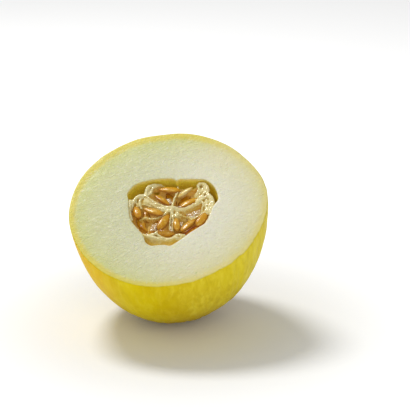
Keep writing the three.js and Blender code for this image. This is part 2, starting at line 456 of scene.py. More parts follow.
# ---- Rind and flesh: its profile's stations, in millimetres from the rim, the mouth and the cut. ----
TURNS = 400  # faces round the fruit
RIND_FACES = 96  # from the blossom end to the rim
FACE_SPAN = 37.0  # from the rim to the mouth, for which the steps on the face are set
FACE_STEPS = [0.18, 0.42, 0.75, 1.2, 1.8, 2.6, 3.6] + [4.8 + 1.25 * k for k in range(22)]
MOUTH_STEPS = [3.6, 2.7, 2.0, 1.4, 0.95, 0.6, 0.3, 0]
WALL_DEPTHS = [
    *(0.2, 0.45, 0.8, 1.2),
    *(1.9 + 0.85 * k for k in range(18)),
    *(18.8 + 1.9 * k for k in range(1, 21)),
]
WALL_END_SHARES = (0.98, 0.99, 0.996, 1.0)
LIP_DROP = 0.4  # how far the flesh rounds down into the cavity
RIM_DROP = 0.3  # how far it rounds down at the rind
DEEP_IN = 40.0  # the inset from the rim that the cavity wall is given
RIBBED_TURN = 322  # where the furrows and the rim's waves are strongest


def fruit_profile(settings):
    """The line that is spun into the fruit, from the blossom end over the rim to the cavity's end."""
    depth = settings.cavity_depth / MM
    return [
        *(("rind", k / RIND_FACES * math.pi / 2) for k in range(RIND_FACES + 1)),
        *(("face", step) for step in FACE_STEPS),
        *(("lip", step) for step in MOUTH_STEPS),
        *(("wall", down) for down in WALL_DEPTHS if down < depth * 0.97),
        *(("wall", depth * share) for share in WALL_END_SHARES),
    ]


def rim_radius(turn, radius):
    """The outer radius at the cut, with the small waves of a grown fruit."""
    angle = math.radians(turn)
    around = (60 * math.cos(angle), 60 * math.sin(angle))
    short = 0.12 + 0.88 * hump(turn_from(turn, RIBBED_TURN), 42)
    return radius + RIM(turn) + 0.85 * short * wobble(*around, 3.0, 4.6) + 0.3 * wobble(*around, 9.0, 13)


def furrow(turn, rise, depth):
    """How deep the lengthwise furrows are at a turn, and at a height from 0 at the end to 1 at the cut."""
    angle = math.radians(turn)
    x, y = math.cos(angle), math.sin(angle)
    bend = 0.5 * rise
    broad = wobble(x * 3.2 + bend, y * 3.2, 1.7 + rise * 0.8, 1.0)
    narrow = wobble(x * 9.5, y * 9.5 + bend, 5.1 + rise * 2.2, 1.0)
    fine = wobble(x * 24, y * 24 + bend, 9.3 + rise * 6.0, 1.0)
    gather = 1 + 1.2 * hump(rise, 0.2)
    rough = 0.1 + 0.7 * hump(turn_from(turn, RIBBED_TURN), 34) + 0.9 * (1 - smoothstep(0.6, 0.97, rise))
    return depth * (0.8 * broad + rough * (0.95 * abs(narrow) + 0.4 * fine)) * gather


def rind_point(slope, turn, outward, radius, settings):
    """A point of the rind, at a slope from 0 at the blossom end to a right angle at the rim."""
    half_length, roundness = settings.half_length / MM, 2 / settings.bluntness
    rise = math.sin(slope)
    share, depth = rise**roundness, half_length * max(math.cos(slope), 0.0) ** roundness
    full = radius + (rim_radius(turn, radius) - radius) * smoothstep(0.25, 1.0, rise)
    full -= furrow(turn, rise, settings.furrow_depth / MM) * smoothstep(0.02, 0.25, rise)
    from_axis = share * radius
    end_dent = 1.3 * math.exp(-((from_axis / 5.2) ** 4)) + 0.9 * hump(from_axis, 13)
    rounded_rim = 0.25 * smoothstep(0.9985, 1.0, rise)
    return outward * (share * full) - Vector((0, 0, depth - end_dent + rounded_rim))


def wall_point(down, mouth_point, centre, outward, settings):
    """A point of the cavity wall, some way down from the lip."""
    fade = smoothstep(0.4, 4.0, down)
    swell = 0.7 * wobble(outward.x * 9, outward.y * 9, down * 0.35, 1.6) * fade
    swell += 0.35 * wobble(outward.x * 30, outward.y * 30, down, 2.4) * fade
    reach = cavity_share(down / (settings.cavity_depth / MM)) * ((mouth_point - centre).length + swell)
    return centre + outward * reach - Vector((0, 0, LIP_DROP + down))


def fruit_point(kind, step, turn, radius, settings):
    """Where a station of the profile lies, how far in from the rim, and how far down the cavity."""
    angle = math.radians(turn)
    outward = Vector((math.cos(angle), math.sin(angle), 0))
    if kind == "rind":
        return rind_point(step, turn, outward, radius, settings), 0.0, 0.0
    centre = CAVITY_CENTRE.to_3d()
    rim_point = outward * (rim_radius(turn, radius) - furrow(turn, 1.0, settings.furrow_depth / MM))
    mouth_point = centre + outward * MOUTH(turn)
    if kind == "wall":
        return wall_point(step, mouth_point, centre, outward, settings), DEEP_IN, step
    span = (rim_point - mouth_point).length
    inset = step * span / FACE_SPAN if kind == "face" else span - step
    point = rim_point.lerp(mouth_point, min(inset / span, 1.0))
    drop = RIM_DROP * math.exp(-inset / 0.22) + LIP_DROP * math.exp(-(span - inset) / 0.45)
    waves = 0.16 * wobble(point.x, point.y, 4.0, 17) + 0.1 * wobble(point.x, point.y, 8.0, 3.2)
    point.z = waves * smoothstep(0, 3, inset) * smoothstep(0, 2, span - inset) - drop
    return point, inset, inset - span


class MELON_OT_rind_and_flesh(bpy.types.Operator):
    """Spins the fruit's profile and shapes it into the grown half with its open seed cavity"""

    bl_idname = "melon.rind_and_flesh"
    bl_label = "Rind and Flesh"

    def execute(self, context):
        settings = context.scene.melon_fruit
        radius = RADIUS / MM
        stations = fruit_profile(settings)
        start_fresh()
        bpy.ops.mesh.primitive_circle_add(vertices=len(stations), radius=radius, location=(0, 0, 0))
        fruit = context.object
        for i, vertex in enumerate(fruit.data.vertices):
            kind, step = stations[i]
            point = fruit_point(kind, step, 0.0, radius, settings)[0]
            on_axis = i in (0, len(stations) - 1)
            vertex.co = (0.0 if on_axis else max(point.x, 0.05), 0.0, point.z)
        write_attribute(fruit, "station", [float(i) for i in range(len(stations))])
        bpy.ops.object.mode_set(mode="EDIT")
        bpy.ops.mesh.select_all(action="DESELECT")
        shape = bmesh.from_edit_mesh(fruit.data)
        shape.verts.ensure_lookup_table()
        closing = shape.edges.get((shape.verts[0], shape.verts[len(stations) - 1]))
        closing.select = True
        bpy.ops.mesh.delete(type="EDGE")
        bpy.ops.mesh.select_all(action="SELECT")
        bpy.ops.mesh.spin(
            steps=TURNS, angle=2 * math.pi, center=(0, 0, 0), axis=(0, 0, 1), use_auto_merge=True
        )
        bpy.ops.object.mode_set(mode="OBJECT")
        close_and_face_out(fruit)
        self.shape_fruit(fruit, stations, radius, settings)
        into_the_row(fruit)
        self.rest_on_floor(fruit)
        fruit.data.materials.append(rind_finish(settings))
        fruit.data.materials.append(flesh_finish(settings))
        rise = fruit.data.attributes["rise"].data
        for face in fruit.data.polygons:
            face.material_index = 1 if all(rise[i].value > 0.9999 for i in face.vertices) else 0
        keep_piece(fruit, "melon_rind_and_flesh", "rind_and_flesh", "rind_and_flesh")
        return {"FINISHED"}

    @staticmethod
    def shape_fruit(fruit, stations, radius, settings):
        """Gives each spun point its place, and what the finishes go by there."""
        numbers = [round(a.value) for a in fruit.data.attributes["station"].data]
        length = settings.half_length / MM
        insets, walls, rises, along = [], [], [], []
        for vertex, number in zip(fruit.data.vertices, numbers):
            kind, step = stations[number]
            angle = math.atan2(vertex.co.y, vertex.co.x)
            point, inset, wall = fruit_point(kind, step, math.degrees(angle), radius, settings)
            if number == 0:
                point = Vector((0, 0, point.z))
            elif number == len(stations) - 1:
                point = Vector((*CAVITY_CENTRE, point.z))
            vertex.co = point
            rise = math.sin(step) if kind == "rind" else 1.0
            insets.append(inset)
            walls.append(wall)
            rises.append(rise)
            along.append((math.cos(angle) * rise, math.sin(angle) * rise, point.z / length))
        write_attribute(fruit, "inset", insets)
        write_attribute(fruit, "wall", walls)
        write_attribute(fruit, "rise", rises)
        write_attribute(fruit, "lengthwise", along, "FLOAT_VECTOR")
        fruit.data.update()

    @staticmethod
    def rest_on_floor(fruit):
        """Presses the rind flat where the half rests, with a soft edge to the flat spot."""
        soft_edge = 0.4 * MM
        for vertex in fruit.data.vertices:
            if vertex.co.z < soft_edge:
                height = max(vertex.co.z, 0.0)
                vertex.co.z = height * 0.5 + height**2 * 0.5 / soft_edge
        fruit.data.update()


def rind_finish(settings):
    """Waxy yellow rind with golden patches, pale lengthwise streaks, fine pores and shallow dents, and
    painted shade that darkens it towards the blossom end.
    """
    rind = Finish(
        "melon_rind", Coat_Roughness=0.3, Specular_IOR_Level=0.03,
        Subsurface_Weight=0.08, Subsurface_Scale=0.004, Subsurface_Radius=(1.0, 0.7, 0.05),
    )
    where, lengthwise, rise = rind.place(), rind.attribute("lengthwise", "Vector"), rind.attribute("rise")
    deep, pale = tuple(settings.rind_deep_colour), tuple(settings.rind_pale_colour)
    streak = rind.cloud(rind.stretch(lengthwise, (13, 13, 5)), 1.0, 4.0, 0.6, 0.4)
    thread = rind.cloud(rind.stretch(lengthwise, (23, 23, 9)), 1.0, 3.0, 0.55, 0.6)
    patch = rind.cloud(where, 22, 3.0, 0.5)
    speck = rind.cloud(where, 420, 2.0, 0.5)
    ribbed = rind.along(lengthwise, (0.79, -0.62, 0)).between(0.62, 0.93)
    sunned = rind.along(lengthwise, (-0.86, -0.5, 0)).between(0.72, 1.0)
    scar = 1 - rise.between(0.045, 0.085)
    scar_ring = rise.between(0.05, 0.11) * (1 - rise.between(0.14, 0.34))
    colour = rind.washes(
        tuple(settings.rind_colour),
        (patch.between(0.38, 0.66), deep),
        (sunned * 0.7, paint(244, 190, 0)),
        (ribbed * 0.35, pale),
        (streak.between(0.44, 0.68) * (ribbed * 0.5 + 0.3), pale),
        (thread.between(0.5, 0.7) * (ribbed * 0.35 + 0.08), pale),
        ((1 - thread.between(0.3, 0.52)) * (ribbed * 0.1 + 0.16), paint(186, 158, 0)),
        (speck.between(0.6, 0.74) * 0.18, deep),
        # painted shade: the rind darkens towards the blossom end, where its underside lies in shadow
        ((1 - rise.between(0.42, 1.0)) * 0.95, paint(158, 130, 0)),
        (scar, paint(168, 132, 78)),
        (scar_ring * 0.45, paint(176, 150, 28)),
    )
    height = streak * 0.5 + thread * (ribbed * 0.1 + 0.12) + patch * 0.4 + speck * 0.06
    height = height + scar * rind.cloud(where, 900, 3.0) * 1.2
    rind.set(
        Base_Color=colour,
        Roughness=(rind.cloud(where, 90, 3.0) * 0.22 + 0.36 + scar * 0.3).clamp(),
        Coat_Weight=((1 - scar) * (streak * 0.06 + 0.01)).clamp(),
        Normal=rind.bump(height, 1.4 * MM, 0.7),
    )
    return rind.material


def flesh_finish(settings):
    """Moist cream flesh, yellow and then green by the rind, with an olive cavity wall; its grain carries
    painted glints and painted shade specks, its upper wall a painted glow, and painted shade darkens the wall
    further down.
    """
    flesh = Finish(
        "melon_flesh", Coat_Roughness=0.2, Specular_IOR_Level=0.3, Emission_Strength=0.35,
        Subsurface_Weight=0.3, Subsurface_Scale=0.005, Subsurface_Radius=(1.0, 0.85, 0.35),
    )
    where, lengthwise = flesh.place(), flesh.attribute("lengthwise", "Vector")
    inset, wall = flesh.attribute("inset"), flesh.attribute("wall")
    drift = flesh.cloud(where, 60, 3.0, 0.6)
    fibre = flesh.cloud(flesh.stretch(lengthwise, (40, 40, 1)), 1.0, 3.0, 0.6)
    left = flesh.along(lengthwise, (-0.9, 0.35, 0)).between(-0.2, 0.9)
    above = flesh.along(lengthwise, (-0.3, 0.95, 0)).between(0.1, 0.95)
    shade = flesh.along(lengthwise, (-1.0, 0.1, 0)).between(-1.0, 0.9)
    ragged = inset + (fibre - 0.5) * 0.9
    depth = ragged + (drift - 0.5) * 4.0 - left * 4.0 - above * 2.5
    band = 1 - (ragged - left * 0.8 - above * 2.2).between(1.2, 5.4)
    middle = flesh.mix(shade, tuple(settings.flesh_colour), paint(228, 228, 184))
    outer = flesh.mix(shade.between(0.15, 0.7), paint(240, 232, 166), tuple(settings.flesh_green_colour))
    edge = flesh.mix(shade.between(0.1, 0.5), paint(244, 230, 146), tuple(settings.under_rind_colour))
    # the grain runs across the cut, as the knife went
    out_of_cut = (0.0, -math.sin(TILT), math.cos(TILT))
    turned = flesh.node(
        "ShaderNodeVectorRotate",
        {"rotation_type": "AXIS_ANGLE"},
        {"Vector": where, "Axis": out_of_cut, "Angle": -0.65},
    )
    grain = flesh.cloud(flesh.stretch(turned.outputs["Vector"], (0.42, 1.0, 1.0)), 820, 3.0, 0.66, 0.5)
    cell = flesh.cloud(where, 1500, 3.0, 0.6)
    fleck = flesh.cloud(where, 230, 2.0, 0.5, 0.4)
    spot = flesh.cloud(where, 210, 1.0, 0.4, 0.3)
    inner = inset.between(1.0, 5.0)
    colour = flesh.washes(
        outer,
        (depth.between(0.0, 12.0) * 0.5 + depth.between(6.0, 30.0) * 0.5, middle),
        (band * 0.9, edge),
        ((1 - inset.between(0.15, 0.75)) * 0.5, tuple(settings.rind_colour)),
        # painted highlights and painted shade: pale flecks and darker specks on the grain stand in for its
        # wet glints and the shadows in its relief, and the small pale spots are painted glints too
        (grain.between(0.55, 0.68) * inner * 0.5, paint(255, 253, 226)),
        ((1 - grain.between(0.3, 0.45)) * inner * 0.12, paint(206, 206, 148)),
        (spot.between(0.74, 0.79) * inner * 0.7, paint(255, 253, 226)),
        ((1 - spot.between(0.2, 0.25)) * (1 - inset.between(4, 16)) * 0.4, paint(172, 192, 78)),
    )
    inside = wall.between(-0.5, 0.6)
    wall_colour = flesh.washes(
        paint(244, 226, 140),
        ((wall + (drift - 0.5) * 2).between(0.2, 3.5), tuple(settings.cavity_colour)),
        # painted shade: the wall turns a darker olive further down the cavity, where it lies in shadow
        ((wall + (drift - 0.5) * 6).between(4, 16), paint(196, 168, 6)),
    )
    # painted glow: the wall from the lip some way down gives off a dim yellow light that stands in for light
    # shining through the flesh
    painted_glow_wall = wall.between(-1.0, 1.2) * (1 - wall.between(8, 22))
    height = grain * 0.7 + cell * 0.2 + fleck * 0.4 + spot.between(0.77, 0.82) * 0.3
    flesh.set(
        Base_Color=flesh.mix(inside, colour, wall_colour),
        Roughness=(grain * 0.3 + 0.28).clamp(),
        Coat_Weight=(cell.between(0.45, 0.7) * 0.35 + 0.05).clamp() * (1 - inside),
        Emission_Color=flesh.mix(painted_glow_wall, BLACK, paint(126, 108, 24)),
        Normal=flesh.bump(height, settings.grain_height, 1.0),
    )
    return flesh.material


# ---- Seed pulp, in millimetres: each wall's thickness, how deep its foot is, and its crest's line of
# (u, v, depth below the cut). ----
OUTER_WALLS = [
    # the wall along the top, low and dim
    (1.2, 10, [(4.2, 19.6, 5.0), (0, 20.8, 6.0), (-4, 21.6, 5.6), (-8, 21.9, 4.0)]),
    # the upper left ruffle
    (1.9, 11, [(-7.4, 21.9, 3.8), (-11.5, 21.5, 2.9), (-14.6, 20.2, 2.3), (-16.7, 17.8, 2.1),
        (-17.3, 14.6, 2.2), (-17.1, 12, 2.6), (-18, 10.9, 2.8)]),
    # the left ruffle
    (1.9, 11, [(-17.4, 11.6, 2.8), (-20.6, 10.4, 2.2), (-23, 8.2, 2.0), (-24.5, 5, 2.2), (-24.9, 2, 2.9),
        (-25.2, -1.5, 3.8)]),
    (1.3, 12, [(-25.2, -1, 4.2), (-24.9, -5.5, 5.2), (-23.8, -9.4, 5.8), (-21.8, -12.8, 5.8),
        (-18.6, -17, 5.4), (-15.4, -20.6, 4.6), (-12.8, -23.6, 3.2)]),
    # the lower shelf's crest
    (1.7, 10, [(-13.2, -23.2, 3.0), (-11, -24.2, 2.4), (-8.4, -23.8, 2.4), (-6.2, -22.4, 2.6),
        (-4.6, -20.4, 2.9), (-4, -18.4, 3.6)]),
    (1.6, 10, [(-4.6, -21.6, 3.2), (-1, -23.9, 3.6), (3, -24.6, 4.2), (6.4, -23.8, 3.8), (9.2, -22, 3.0),
        (12, -21.8, 2.8), (14.6, -21.6, 3.4)]),
    (1.3, 12, [(8.2, -24.6, 4.0), (11.2, -25.2, 3.6), (14.4, -22.6, 4.0), (17.8, -19.4, 5.6),
        (21.2, -16.2, 5.9), (24.6, -12.8, 5.9), (27.2, -9.4, 5.2), (28.7, -5.6, 4.2), (29.3, -1.6, 3.4)]),
    # the right ruffle, its outer fold
    (1.9, 11, [(29.2, -2.4, 3.4), (29.8, 1.6, 2.6), (30.3, 5.6, 2.2), (29.6, 9.6, 2.0), (27.8, 12.9, 2.0),
        (25.2, 15, 2.2)]),
    # the upper right ruffle, its outer fold
    (1.9, 11, [(25.4, 14.6, 2.4), (25.4, 17.2, 2.2), (24.7, 20.2, 2.0), (23, 23, 1.9), (20.8, 24.2, 1.9),
        (18.7, 23.7, 2.1), (17.5, 22, 2.7)]),
    (1.2, 10, [(17.6, 22, 3.6), (15.6, 21.4, 5.4), (12.4, 21, 6.0), (8.6, 20.6, 6.0), (4.2, 19.6, 5.0)]),
]
FOLDS = [
    # tissue that still holds the pulp to the flesh on the left and on the right
    (2.25, 9, [(-27.2, 5.6, 1.8), (-26.6, 2, 1.2), (-26, -3, 1.3), (-25, -7, 2.0), (-23.4, -11.4, 3.2)]),
    (1.64, 9, [(31.2, 3.6, 2.2), (30.4, 0, 1.6), (29.6, -5, 1.8), (28, -9.8, 2.8), (24.4, -14.4, 4.0)]),
    # inside the upper left ruffle
    (1.11, 9, [(-10.4, 19.8, 4.0), (-12.9, 19.4, 3.2), (-13.4, 17.2, 3.1), (-13.4, 15, 3.6),
        (-14.9, 12.6, 3.4), (-16.4, 11, 3.0)]),
    (0.77, 9, [(-15.6, 18.4, 3.4), (-15.4, 16, 3.4), (-15.6, 13.6, 3.6)]),
    # inside the left ruffle
    (1.44, 10, [(-18.4, 9.9, 3.0), (-20.2, 7.8, 3.0), (-20.3, 5, 3.0), (-19.5, 2.2, 3.4), (-18, -0.2, 4.2)]),
    (0.89, 9, [(-22.6, 6.4, 3.6), (-22.3, 3.6, 3.8), (-21.4, 1.2, 4.4)]),
    # inside the upper right ruffle
    (1.44, 9, [(17.3, 22.6, 2.4), (18.5, 20.2, 2.7), (18.6, 17.8, 3.0), (17.2, 15.2, 3.6),
        (16.2, 13.8, 4.4)]),
    (1.55, 9, [(21.2, 22.6, 2.5), (22.8, 20.2, 2.5), (22.9, 17, 2.6), (21.6, 13.6, 2.9), (19, 11, 3.4),
        (16.6, 9.2, 4.0)]),
    (1.0, 9, [(20.4, 20.6, 3.6), (20.4, 17.6, 3.5), (19.2, 14.6, 3.8)]),
    # inside the right ruffle
    (1.55, 9, [(24.6, 13.8, 2.6), (27.4, 11.4, 2.4), (28.4, 8, 2.5), (27.9, 4.4, 2.8), (27.2, 0.6, 3.2),
        (26.8, -2.6, 4.0)]),
    (1.22, 9, [(25, 10.8, 3.0), (26, 8, 2.9), (25.7, 4.4, 3.1), (25.6, 0.8, 3.5), (24.6, -2.4, 4.2)]),
    (1.0, 9, [(22.8, 8.4, 3.2), (23.6, 5.2, 3.3), (23, 1.6, 3.7), (23.2, -1, 4.2)]),
]
SEPTA = [
    # straight up, on to the cusp of the cavity wall
    (1.27, 10, [(2.9, 1.2, 2.4), (2.6, 5, 2.9), (3.1, 10, 3.4), (4.1, 15, 3.6), (4.2, 19, 3.8),
        (3.2, 22.6, 4.4)]),
    # up to the left: the bright edge, and the two folds below it
    (1.39, 10, [(1.6, 1.9, 2.3), (-3.4, 2.3, 2.6), (-7.4, 4, 2.7), (-10.4, 6, 2.8), (-13.6, 8.4, 2.8),
        (-17.4, 11.2, 2.8)]),
    (1.11, 10, [(1, 0.4, 2.8), (-4.4, 0.5, 3.2), (-9, 2.3, 3.4), (-13, 4.9, 3.4), (-17.6, 8.6, 3.2)]),
    (1.0, 10, [(0.6, -0.6, 3.0), (-5, -0.6, 3.9), (-10.4, 1.7, 4.3), (-15, 3.4, 4.2), (-18.6, 4, 3.8)]),
    # down to the left
    (1.44, 10, [(1.4, -0.8, 2.6), (-2.6, -4.6, 3.8), (-6.8, -7.4, 4.2), (-11, -8.2, 4.2),
        (-14.6, -7.4, 4.4), (-18.4, -9.4, 5.0)]),
    # straight down, a pair
    (0.83, 10, [(2.5, -0.4, 2.5), (2.7, -6, 3.2), (3.2, -12, 3.6), (3.6, -19, 4.0)]),
    (0.83, 10, [(3.7, -0.4, 2.5), (4.5, -6, 3.2), (5.3, -12, 3.7), (6.2, -18.4, 4.2)]),
    # to the right: the folds that meet in the notch of the two right ruffles
    (1.66, 10, [(4.6, 1.4, 2.4), (8.4, 1.0, 3.2), (12.2, 2.6, 3.7), (16.4, 5.6, 3.6), (20.4, 9.2, 3.2),
        (24.8, 13.6, 2.6)]),
    (1.44, 10, [(5, 0.6, 2.7), (9.6, 0.0, 3.8), (14.4, 2.6, 4.2), (18.6, 5.4, 4.0), (22.6, 9.2, 3.4)]),
    # down to the right, thin and torn
    (0.89, 10, [(5.2, -0.8, 3.2), (9.6, -3.4, 4.4), (13.6, -4.8, 4.8), (17.4, -5.6, 4.7), (21.6, -3.2, 4.2)]),
    (0.89, 10, [(15.8, -7.8, 4.8), (18.8, -5.8, 4.2), (21.8, -3.8, 3.8), (23.6, -1.2, 3.8)]),
]
# threads of pulp, each a line of (u, v, depth below the cut)
THREADS = [
    [(-7.6, -20.8, 3.2), (-8.4, -23.6, 2.6), (-9.6, -26, 3.4)],
    [(-9.8, -19.6, 4.6), (-10.8, -22, 3.4), (-12, -23.8, 2.8)],
    [(-11.6, -14.6, 6.2), (-10.6, -17.8, 4.8), (-9.4, -21.4, 3.2)],
    [(-6.2, -18.6, 4.6), (-5.2, -20.4, 3.2), (-5.6, -22.6, 2.8)],
    [(11.4, -20.4, 3.4), (12.6, -22.2, 2.8), (13, -24.6, 3.4)],
    [(9.6, -22.2, 3.0), (10.4, -24, 3.2), (11.8, -26, 4.4)],
    [(13.6, -20.6, 3.4), (15, -21.6, 3.2), (15.4, -23, 4.2)],
    [(14, -5.4, 4.6), (16, -2.4, 4.2), (18.6, -1.4, 4.4), (21.4, 1.4, 4.0)],
    [(9.4, -2.4, 4.6), (12, -0.8, 4.6), (15.4, 0.2, 4.2), (19.2, 0.6, 4.4)],
    [(18.4, -3.6, 4.6), (20.4, -1.4, 4.0), (23.4, 0.6, 3.8)],
    [(-14, -9, 5.2), (-15.2, -6, 4.6), (-17.6, -2.6, 4.4)],
    [(10.6, -9.4, 5.8), (9.6, -7, 5.0), (9.8, -4.4, 4.4)],
]
# where the folded pulp fills its chambers higher up: (u, v, half length, half width, turn, height)
MOUNDS = [
    (-8, 3.0, 9.5, 3.4, -25, 6.1), (-15, 6.4, 5.4, 4.2, -30, 5.9), (-21.5, 5.2, 3.2, 5.2, 10, 5.4),
    (15.5, 4.6, 10, 3.0, 36, 5.6), (26, 8, 3.4, 6.4, 5, 5.6), (25, 1, 3.0, 5.4, 0, 4.8),
    (20.6, 19, 3.2, 5, -10, 5.6), (19, 14, 4.4, 3.4, 30, 5.2), (-15, 15.6, 2.8, 5, 0, 5.6),
    (-8, 20, 4.5, 1.8, 0, 3.8), (8, 18.6, 5, 2.0, 15, 3.2), (11, -0.6, 3.4, 1.6, -10, 3.6),
    (-12.5, -6.8, 4.5, 1.6, 5, 2.6), (4, -10, 1.9, 9, 4, 3.4), (13, -5.5, 5, 2, -10, 2.8),
    (-10.5, -13, 2.2, 4, 0, 1.6), (-8, -21, 4.5, 2.6, 10, 4.4), (12, -21.4, 4, 2.4, 0, 4.4),
    (0, 12, 2.2, 3.4, 0, 1.6),
]
# where the pulp has shrunk from the flesh: (turn, how far round it spreads, in degrees, and its size)
GAPS = [(148, 27, 8.0), (108, 20, 2.6), (60, 16, 1.8), (20, 22, 1.6), (272, 24, 4.4)]
LEAST_GAP = 0.9
# the lumps where the walls meet, and the smooth lobes of gel beside them: (middle below the cut, half size)
CORE_LUMPS = [
    ((3.0, 0.8, -6.4), (2.7, 2.3, 4.2)),
    ((4.2, 1.8, -5.0), (2.4, 1.5, 2.7)),
    ((1.4, 1.4, -5.2), (2.6, 1.6, 2.6)),
    ((6.6, -4.0, -6.9), (3.0, 3.5, 3.6)),
    ((-3.4, -0.8, -6.2), (3.4, 1.9, 2.8)),
]
CHAMBER_FLOOR = 9.4  # how deep the chambers between the walls are
LOWER_BODY = (10.6, 56.5)  # how deep the body's widest part and its end are
WALL_FACE = 0.5  # length of a face along a wall
THREAD_RADIUS = 0.28
THREAD_POINTS = 14
SHELF_U = (-14.0, 12.5)  # its left and right ends
SHELF_V = (-23.2, -33.0)  # its crest and its foot
SHELF_CREST_DEPTH = 3.0
SHELF_THICKNESS = 2.2
HIDDEN_DEPTH = 15  # below it nothing shows between the seeds


def pulp_radius(turn):
    gap = sum(size * hump(turn_from(turn, middle), spread) for middle, spread, size in GAPS)
    return MOUTH(turn) - LEAST_GAP - gap


def wall_sheet(thickness, foot, line):
    """One standing wall of pulp, with a wavy crest."""
    length = sum((Vector(b) - Vector(a)).length for a, b in zip(line, line[1:]))
    columns = max(int(length / WALL_FACE), 6)
    sheet = add_grid(columns, 9)
    points = smooth_line(line, columns + 1)
    for vertex in sheet.data.vertices:
        i = round((vertex.co.x + 0.5) * columns)
        down = 0.5 - vertex.co.y
        here = points[i]
        ahead, behind = points[min(i + 1, columns)], points[max(i - 1, 0)]
        side = Vector((behind.y - ahead.y, ahead.x - behind.x, 0)).normalized()
        crest = here.z + 0.28 * wobble(here.x, here.y, 3.0, 1.7)
        depth = crest + (foot - crest) * down
        lean = 0.35 * wobble(here.x, here.y, depth * 0.5, 2.6) + 0.18 * wobble(here.x, here.y, depth, 0.9)
        vertex.co = Vector((here.x, here.y, -depth)) + side * lean
    apply_modifier(sheet, "SOLIDIFY", thickness=thickness, offset=0.0)
    return sheet


def thread_tube(line):
    """One thread of pulp, thicker and thinner along its run."""
    start_fresh()
    points, last = smooth_line(line, THREAD_POINTS), THREAD_POINTS - 1
    bpy.ops.mesh.primitive_cylinder_add(
        vertices=8, radius=THREAD_RADIUS, depth=1, end_fill_type="NGON", location=(0, 0, 0)
    )
    tube = bpy.context.object
    shape = bmesh.new()
    shape.from_mesh(tube.data)
    sides = [edge for edge in shape.edges if abs(edge.verts[0].co.z - edge.verts[1].co.z) > 0.5]
    bmesh.ops.subdivide_edges(shape, edges=sides, cuts=THREAD_POINTS - 2)
    for vertex in shape.verts:
        i = min(max(round((vertex.co.z + 0.5) * last), 0), last)
        here = points[i]
        ahead, behind = points[min(i + 1, last)], points[max(i - 1, 0)]
        run = Vector((ahead.x - behind.x, ahead.y - behind.y, behind.z - ahead.z)).normalized()
        side = run.cross(Vector((0, 0, 1))).normalized()
        up = side.cross(run)
        size = 0.75 + 0.5 * abs(wobble(here.x, here.y, 7.0, 1.2))
        vertex.co = Vector((here.x, here.y, -here.z)) + (side * vertex.co.x + up * vertex.co.y) * size
    shape.to_mesh(tube.data)
    shape.free()
    return tube


def mound_height(place):
    heights = [0.0]
    for u, v, half_length, half_width, turn, height in MOUNDS:
        away = Vector((place.x - u, place.y - v))
        away.rotate(Matrix.Rotation(-math.radians(turn), 2))
        spread = (away.x / half_length) ** 2 + (away.y / half_width) ** 2
        heights.append(height * hump(spread, 1))
    return max(heights)


def pulp_base():
    """The body of the pulp, down to the end of the cavity, with a lumpy floor to its chambers."""
    base = add_ball(160, 96)
    for vertex in base.data.vertices:
        x, y, z = vertex.co
        across = min(math.hypot(x, y), 1.0)
        angle = math.atan2(y, x)
        out = Vector((math.cos(angle), math.sin(angle)))
        radius = 0.985 * pulp_radius(math.degrees(angle))
        if z >= 0:
            place = CAVITY_CENTRE + out * (across * radius)
            depth = CHAMBER_FLOOR + 1.2 * smoothstep(0.93, 1.0, across) - mound_height(place)
            depth += 0.9 * wobble(place.x, place.y, 2.0, 4.2) + 0.5 * wobble(place.x, place.y, 6.0, 1.8)
        else:
            share = cavity_share(abs(z))
            depth = LOWER_BODY[0] + (LOWER_BODY[1] - LOWER_BODY[0]) * abs(z)
            swell = 0.6 * wobble(out.x * 8, out.y * 8, depth * 0.3, 1.4)
            place = CAVITY_CENTRE + out * (share * (radius + swell))
        vertex.co = (place.x, place.y, -depth)
    return base


def core_lumps():
    """The thick middle where the walls meet, and the lobes beside it."""
    for middle, size in CORE_LUMPS:
        lump = add_ball(32, 20)
        for vertex in lump.data.vertices:
            vertex.co = Vector(middle) + vertex.co * Vector(size)
        yield lump


def shelf():
    """The pale shelf that slopes from the pulp down to the lowest corner of the cavity."""
    sheet = add_grid(48, 18)
    for vertex in sheet.data.vertices:
        across, down = vertex.co.x + 0.5, 0.5 - vertex.co.y
        u = SHELF_U[0] + (SHELF_U[1] - SHELF_U[0]) * across
        crest_v = SHELF_V[0] - 1.2 * math.sin(across * math.pi) + 0.8 * wobble(u, 0, 0, 4.0)
        foot_v = SHELF_V[1] + 8.5 * abs(across * 2 - 1) ** 2.2
        v = crest_v + (foot_v - crest_v) * down
        depth = SHELF_CREST_DEPTH - 1.2 * math.sin(min(down * 2.2, 1.0) * math.pi) + 4.4 * down**1.7
        depth += 0.45 * wobble(u, v, 2.0, 3.0)
        depth += 1.3 * hump(across - 0.6, 0.07) + 0.7 * smoothstep(0.6, 0.7, across)
        vertex.co = (u, v, -depth)
    apply_modifier(sheet, "SOLIDIFY", thickness=SHELF_THICKNESS, offset=-1.0)
    return sheet


